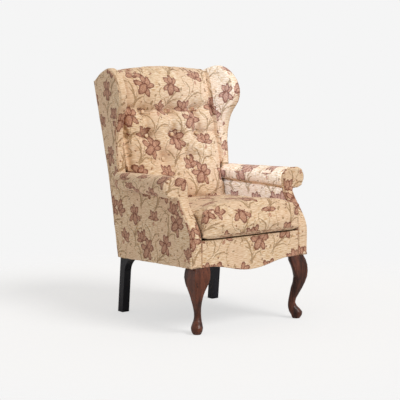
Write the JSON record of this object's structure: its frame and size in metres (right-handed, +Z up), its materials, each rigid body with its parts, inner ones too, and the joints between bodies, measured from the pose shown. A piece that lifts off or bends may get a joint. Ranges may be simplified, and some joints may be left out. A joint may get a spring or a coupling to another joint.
{
  "type": "wingback armchair",
  "caption": "Wingback fireside armchair with a deep-buttoned raked back, flared wings, scroll arms, loose seat cushion, cabriole front legs and raked rear legs.",
  "frame": {"origin": "on the floor under the middle of the chair's bounding box", "axes": "+Z up, the chair faces -Y, +X to the sitter's left"},
  "size_m": [0.748, 0.7904, 1.07],
  "materials": {
    "upholstery": "slubbed cream and gold cloth with a flower pattern",
    "frame_beech": "planed",
    "leg_mahogany": "polished",
    "leg_ebonised": "stained and lacquered",
    "steel": "plain",
    "webbing": "woven",
    "deck_felt": "felt",
    "dust_cloth": "non-woven"
  },
  "bodies": {
    "chair": {"front_rail": "frame_beech", "back_rail": "frame_beech", "side_rail_left": "frame_beech", "side_rail_right": "frame_beech", "front_corner_block_left": "frame_beech", "front_corner_block_right": "frame_beech", "rear_corner_block_left": "frame_beech", "rear_corner_block_right": "frame_beech", "back_upright_left": "frame_beech", "back_upright_right": "frame_beech", "crest_rail": "frame_beech", "back_tacking_rail": "frame_beech", "back_web_1": "webbing", "back_web_2": "webbing", "back_web_3": "webbing", "wing_post_left": "frame_beech", "wing_post_right": "frame_beech", "wing_rail_left": "frame_beech", "wing_rail_right": "frame_beech", "wing_pad_left": "upholstery", "wing_pad_right": "upholstery", "outside_wing_left": "upholstery", "outside_wing_right": "upholstery", "arm_rail_left": "frame_beech", "arm_rail_right": "frame_beech", "arm_post_left": "frame_beech", "arm_post_right": "frame_beech", "arm_pad_left": "upholstery", "arm_pad_right": "upholstery", "arm_facing_left": "upholstery", "arm_facing_right": "upholstery", "outside_arm_left": "upholstery", "outside_arm_right": "upholstery", "back_pad": "upholstery", "back_button_1": "upholstery", "back_button_2": "upholstery", "back_button_3": "upholstery", "back_button_4": "upholstery", "back_button_5": "upholstery", "back_button_6": "upholstery", "back_button_7": "upholstery", "back_button_8": "upholstery", "outside_back": "upholstery", "front_border": "upholstery", "seat_spring_1": "steel", "seat_spring_2": "steel", "seat_spring_3": "steel", "seat_spring_4": "steel", "seat_deck": "deck_felt", "dust_cover": "dust_cloth", "front_leg_left": "leg_mahogany", "front_leg_right": "leg_mahogany", "rear_leg_left": "leg_ebonised", "rear_leg_right": "leg_ebonised", "rear_leg_bolt_left": "steel", "rear_leg_bolt_right": "steel"},
    "cushion": {"seat_cushion": "upholstery"}
  },
  "joints": [
    {"name": "cushion_lift", "type": "slide", "parent": "chair", "child": "cushion", "axis": [0, 0, 1], "range_m": [0, 0.25]}
  ]
}
